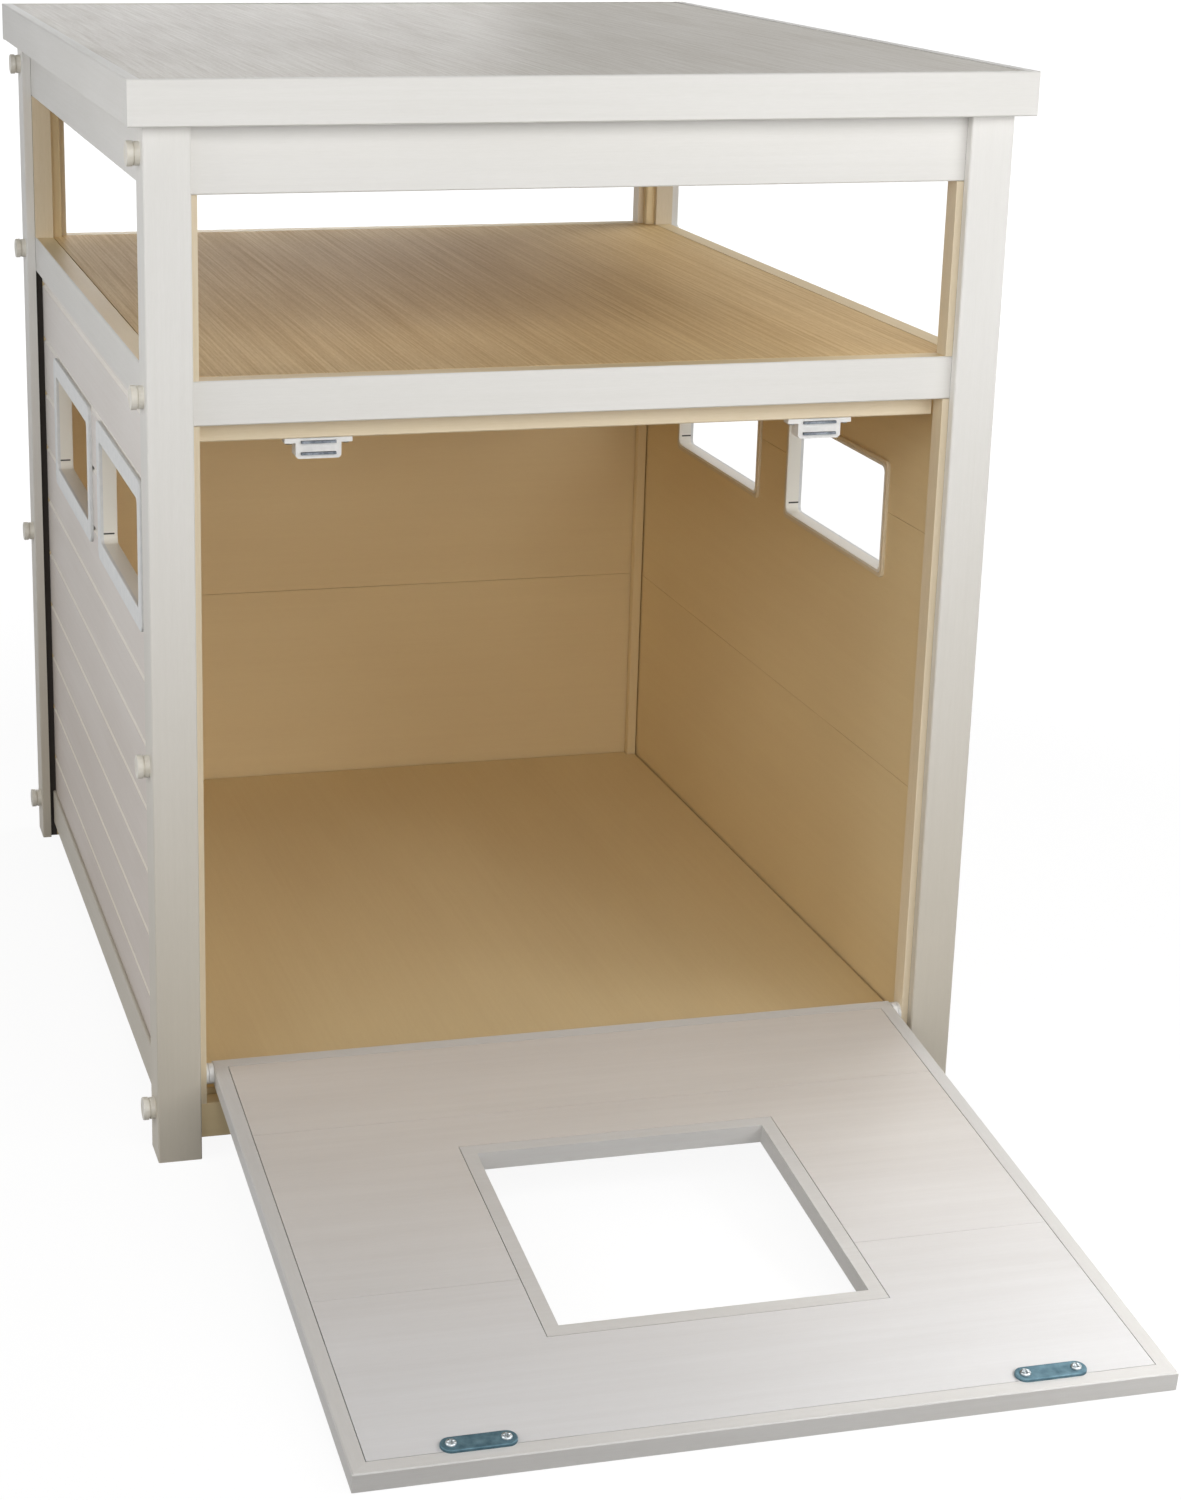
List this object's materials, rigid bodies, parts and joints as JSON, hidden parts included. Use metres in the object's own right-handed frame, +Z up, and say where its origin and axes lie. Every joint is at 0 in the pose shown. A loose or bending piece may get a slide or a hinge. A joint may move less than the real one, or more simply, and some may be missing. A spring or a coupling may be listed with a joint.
{
  "type": "litter box enclosure",
  "caption": "End table with an open shelf above and a closed litter box compartment below, behind a fold-down door with a cat entrance",
  "frame": {"origin": "centre of the footprint on the floor, with the door lying open", "axes": "+Z up, -Y towards the open door (front), +X to the right seen from the front"},
  "size_m": [0.62, 1.176, 0.752],
  "materials": {
    "frame_trim": "off-white wood composite, satin",
    "wall_board": "off-white wood composite, satin, fine grain",
    "top_board": "weathered greige wood composite, grained",
    "tan_board": "tan wood composite, fine grain",
    "tan_trim": "tan wood composite, smooth",
    "white_plastic": "white moulded plastic",
    "strike_plate": "blue zinc-plated steel",
    "screw_steel": "zinc-plated steel",
    "magnet_steel": "dark nickel-plated steel"
  },
  "bodies": {
    "cabinet": {"bottom_rail_front": "frame_trim", "bottom_rail_left": "frame_trim", "bottom_rail_rear": "frame_trim", "bottom_rail_right": "frame_trim", "catch_batten": "tan_trim", "catch_housing_left": "white_plastic", "catch_housing_right": "white_plastic", "catch_magnets": "magnet_steel", "floor_panel": "tan_board", "groove_strips": "tan_trim", "left_board_lower": "wall_board", "left_board_middle": "wall_board", "left_board_upper": "wall_board", "locking_pegs": "white_plastic", "pivot_pins": "white_plastic", "post_front_left": "frame_trim", "post_front_right": "frame_trim", "post_rear_left": "frame_trim", "post_rear_right": "frame_trim", "rear_board_lower": "wall_board", "rear_board_middle": "wall_board", "rear_board_upper": "wall_board", "right_board_lower": "wall_board", "right_board_middle": "wall_board", "right_board_upper": "wall_board", "shelf_panel": "tan_board", "shelf_rail_front": "frame_trim", "shelf_rail_left": "frame_trim", "shelf_rail_rear": "frame_trim", "shelf_rail_right": "frame_trim", "top_edging_front": "frame_trim", "top_edging_left": "frame_trim", "top_edging_rear": "frame_trim", "top_edging_right": "frame_trim", "top_panel": "top_board", "top_rail_front": "frame_trim", "top_rail_left": "frame_trim", "top_rail_rear": "frame_trim", "top_rail_right": "frame_trim", "window_frame_left_front": "frame_trim", "window_frame_left_rear": "frame_trim", "window_frame_right_front": "frame_trim", "window_frame_right_rear": "frame_trim", "window_inner_rings_left": "frame_trim", "window_inner_rings_right": "frame_trim"},
    "door": {"door_board_free": "wall_board", "door_board_hinge": "wall_board", "door_board_middle": "wall_board", "door_edge_free": "frame_trim", "door_edge_hinge": "frame_trim", "door_edge_left": "frame_trim", "door_edge_right": "frame_trim", "entrance_frame": "frame_trim", "pivot_bushes": "white_plastic", "strike_plate_left": "strike_plate", "strike_plate_right": "strike_plate"}
  },
  "joints": [
    {"name": "door_hinge", "type": "hinge", "parent": "cabinet", "child": "door", "pos_m": [0, -0.13229, 0.059], "axis": [-1, 0, 0], "range_deg": [0, 96.57]}
  ]
}
